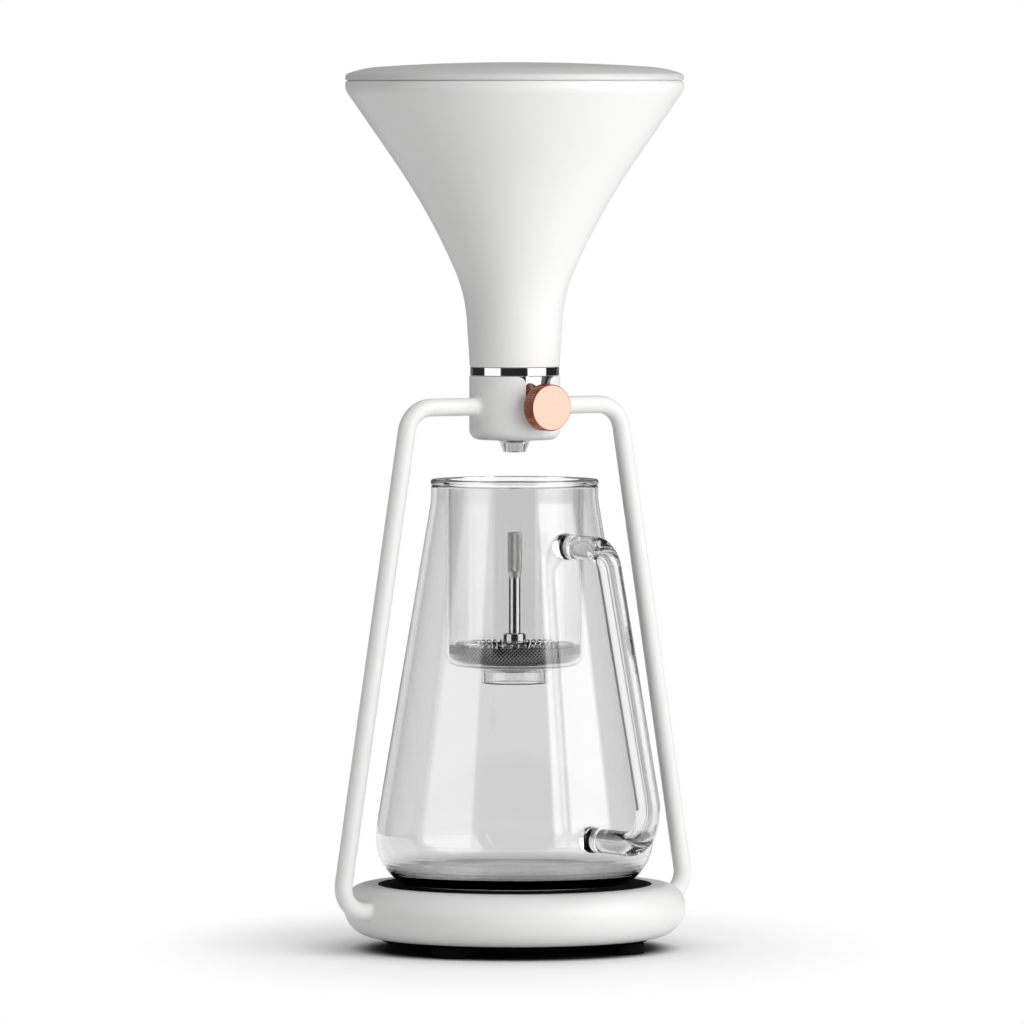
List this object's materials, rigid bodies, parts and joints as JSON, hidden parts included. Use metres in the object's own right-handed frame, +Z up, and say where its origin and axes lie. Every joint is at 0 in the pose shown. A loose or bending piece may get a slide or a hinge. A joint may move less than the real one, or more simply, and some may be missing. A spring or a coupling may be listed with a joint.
{
  "type": "cold brew coffee maker",
  "caption": "Drip tower for cold coffee: lidded white funnel with a copper dosing knob, held by two bent arms over a glass carafe on a round weighing base.",
  "frame": {"origin": "on the table, under the middle of the round base; the funnel, carafe and base share this axis", "axes": "+Z up; -Y is the front, where the knob and the carafe's handle are; the arms stand on -X and +X"},
  "size_m": [0.2102, 0.2137, 0.4438],
  "materials": {
    "white_paint": "satin white powder coat",
    "white_plastic": "satin white moulding",
    "black_plastic": "fine matt grain",
    "black_rubber": "matt silicone rubber",
    "clear_glass": "clear borosilicate",
    "polished_steel": "polished stainless steel",
    "dull_steel": "plain stainless steel",
    "copper": "turned copper, fine concentric lines",
    "aluminium": "milled",
    "green_board": "circuit board lacquer",
    "battery_jacket": "plain printed jacket",
    "silicone": "soft silicone"
  },
  "bodies": {
    "stand": {"base_shell": "white_paint", "weighing_plate": "black_plastic", "plate_mat": "black_rubber", "load_cell": "aluminium", "load_cell_screws": "dull_steel", "circuit_board": "green_board", "battery_cells": "battery_jacket", "battery_contacts": "dull_steel", "battery_door": "black_plastic", "door_screw": "dull_steel", "bottom_cover": "black_plastic", "cover_screws": "dull_steel", "feet": "black_rubber", "left_arm": "white_paint", "right_arm": "white_paint", "arm_bolts": "dull_steel", "valve_cup": "white_paint"},
    "carafe": {"carafe": "clear_glass", "carafe_handle": "clear_glass"},
    "drip_chamber": {"drip_chamber": "clear_glass"},
    "filter": {"filter_rod": "polished_steel", "filter_hub": "polished_steel", "spring_plate": "dull_steel", "rim_spring": "dull_steel", "filter_mesh": "dull_steel", "support_plate": "dull_steel", "filter_nut": "dull_steel"},
    "funnel": {"funnel": "white_plastic", "funnel_gasket": "silicone", "funnel_nut": "polished_steel", "valve_body": "polished_steel", "gland_nut": "polished_steel", "nozzle": "polished_steel"},
    "knob": {"knob": "copper", "valve_plug": "polished_steel", "plug_o_rings": "black_rubber", "knob_set_screw": "dull_steel"},
    "lid": {"lid": "white_plastic"}
  },
  "joints": [
    {"name": "carafe_pull", "type": "slide", "parent": "stand", "child": "carafe", "axis": [0, -1, 0], "range_m": [0, 0.25]},
    {"name": "chamber_lift", "type": "slide", "parent": "carafe", "child": "drip_chamber", "axis": [0, 0, 1], "range_m": [0, 0.012]},
    {"name": "filter_lift", "type": "slide", "parent": "drip_chamber", "child": "filter", "axis": [0, 0, 1], "range_m": [0, 0.026]},
    {"name": "funnel_lift", "type": "slide", "parent": "stand", "child": "funnel", "axis": [0, 0, 1], "range_m": [0, 0.12]},
    {"name": "knob_turn", "type": "hinge", "parent": "funnel", "child": "knob", "pos_m": [0, -0.03018, 0.272], "axis": [0, -1, 0], "range_deg": [0, 90]},
    {"name": "lid_lift", "type": "slide", "parent": "funnel", "child": "lid", "axis": [0, 0, 1], "range_m": [0, 0.08]}
  ]
}
